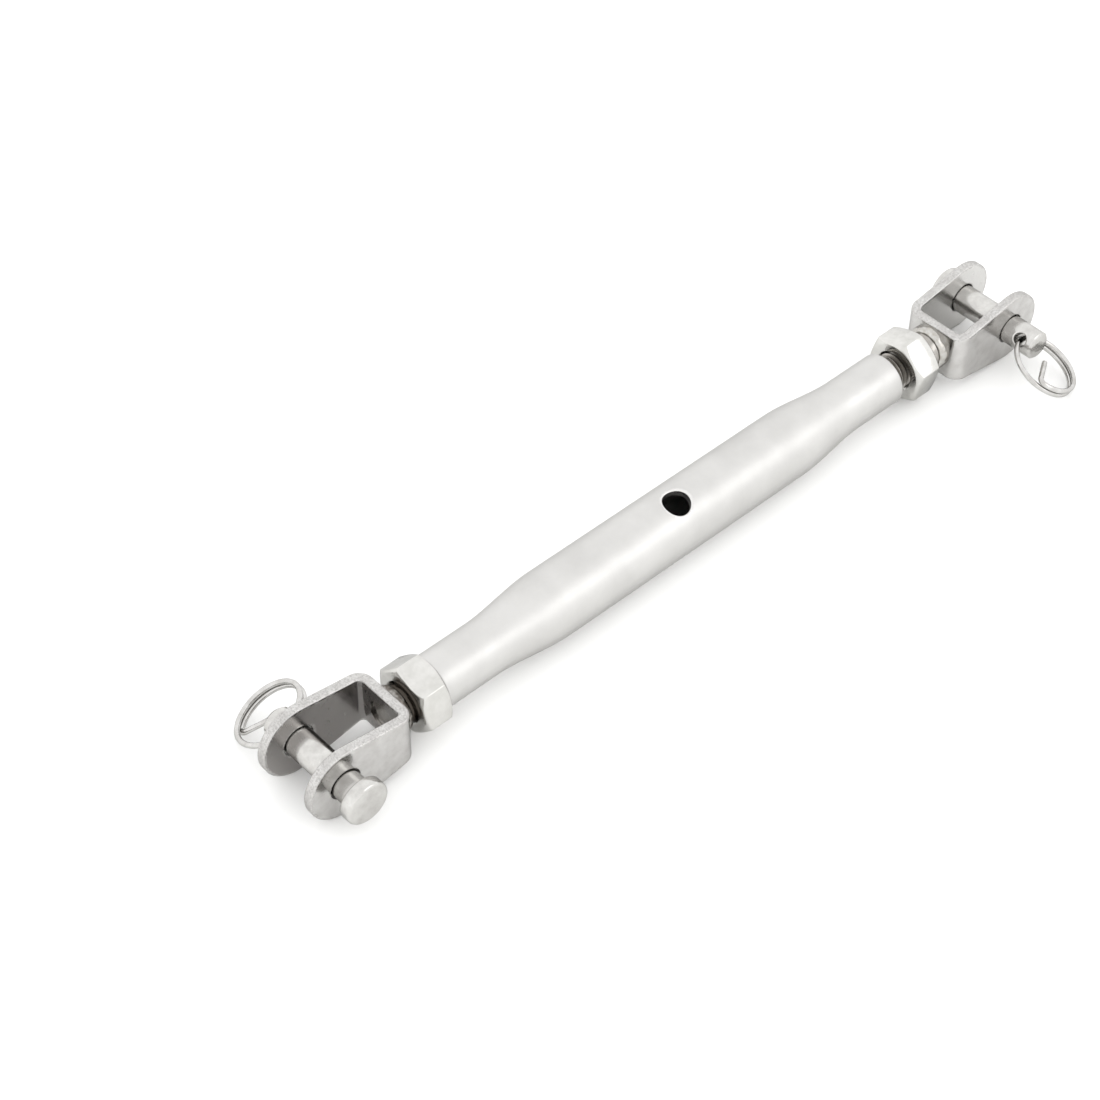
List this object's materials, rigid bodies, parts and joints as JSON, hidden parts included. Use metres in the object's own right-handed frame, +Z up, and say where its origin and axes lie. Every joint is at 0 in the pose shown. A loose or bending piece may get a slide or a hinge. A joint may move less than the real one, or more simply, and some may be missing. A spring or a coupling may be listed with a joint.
{
  "type": "rigging turnbuckle",
  "caption": "Closed-body rigging turnbuckle: swaged tube with opposite-handed threaded studs, lock nuts, bent-strap jaws, clevis pins and split cotter rings.",
  "frame": {"origin": "centre of the body tube, on the axis of its tommy-bar hole", "axes": "+X along the screw axis towards the left-hand-threaded jaw, Y along both clevis pins, +Z up; the jaws open in the XY plane"},
  "size_m": [0.1914, 0.0477, 0.0156],
  "materials": {
    "satin_tube": "bead-blasted satin stainless steel",
    "polished_nut": "tumble-polished stainless steel",
    "rolled_thread": "rolled-thread stainless steel",
    "tumbled_strap": "tumble-polished stainless strap",
    "weld_metal": "pickled and polished weld",
    "turned_pin": "turned and polished stainless steel",
    "drawn_wire": "bright drawn stainless spring wire"
  },
  "bodies": {
    "rh_jaw": {"rh_jaw_strap": "tumbled_strap", "rh_stud": "rolled_thread", "rh_weld_bead": "weld_metal"},
    "rh_nut": {"rh_lock_nut": "polished_nut"},
    "body": {"body_tube": "satin_tube"},
    "lh_nut": {"lh_lock_nut": "polished_nut"},
    "lh_jaw": {"lh_jaw_strap": "tumbled_strap", "lh_stud": "rolled_thread", "lh_weld_bead": "weld_metal"},
    "rh_pin": {"rh_clevis_pin": "turned_pin"},
    "lh_pin": {"lh_clevis_pin": "turned_pin"},
    "rh_ring": {"rh_cotter_ring": "drawn_wire"},
    "lh_ring": {"lh_cotter_ring": "drawn_wire"}
  },
  "joints": [
    {"name": "rh_nut_travel", "type": "slide", "parent": "rh_jaw", "child": "rh_nut", "axis": [1, 0, 0], "range_m": [-0.00083, 0.03625]},
    {"name": "body_turn", "type": "hinge", "parent": "rh_nut", "child": "body", "pos_m": [0, 0, 0], "axis": [1, 0, 0], "range_deg": [-240, 10440]},
    {"name": "lh_nut_hold", "type": "hinge", "parent": "body", "child": "lh_nut", "pos_m": [0.06625, 0, 0], "axis": [1, 0, 0], "range_deg": [-10440, 240]},
    {"name": "lh_jaw_travel", "type": "slide", "parent": "lh_nut", "child": "lh_jaw", "axis": [1, 0, 0], "range_m": [-0.00083, 0.03625]},
    {"name": "rh_pin_turn", "type": "hinge", "parent": "rh_jaw", "child": "rh_pin", "pos_m": [-0.0854, 0, 0], "axis": [0, 1, 0], "continuous": true},
    {"name": "lh_pin_turn", "type": "hinge", "parent": "lh_jaw", "child": "lh_pin", "pos_m": [0.0904, 0, 0], "axis": [0, 1, 0], "continuous": true},
    {"name": "rh_ring_swing", "type": "hinge", "parent": "rh_pin", "child": "rh_ring", "pos_m": [-0.0854, 0.009, 0], "axis": [0.9205, 0, 0.3907], "range_deg": [-55, 105]},
    {"name": "lh_ring_swing", "type": "hinge", "parent": "lh_pin", "child": "lh_ring", "pos_m": [0.0904, -0.0119, 0], "axis": [-0.9205, 0, 0.3907], "range_deg": [-68.5, 111.5]}
  ],
  "couplings": [
    {"joint": "body_turn", "follows": "rh_nut_travel", "rad_per_m": 5026.5},
    {"joint": "lh_nut_hold", "follows": "rh_nut_travel", "rad_per_m": -5026.5},
    {"joint": "lh_jaw_travel", "follows": "rh_nut_travel", "ratio": 1}
  ]
}
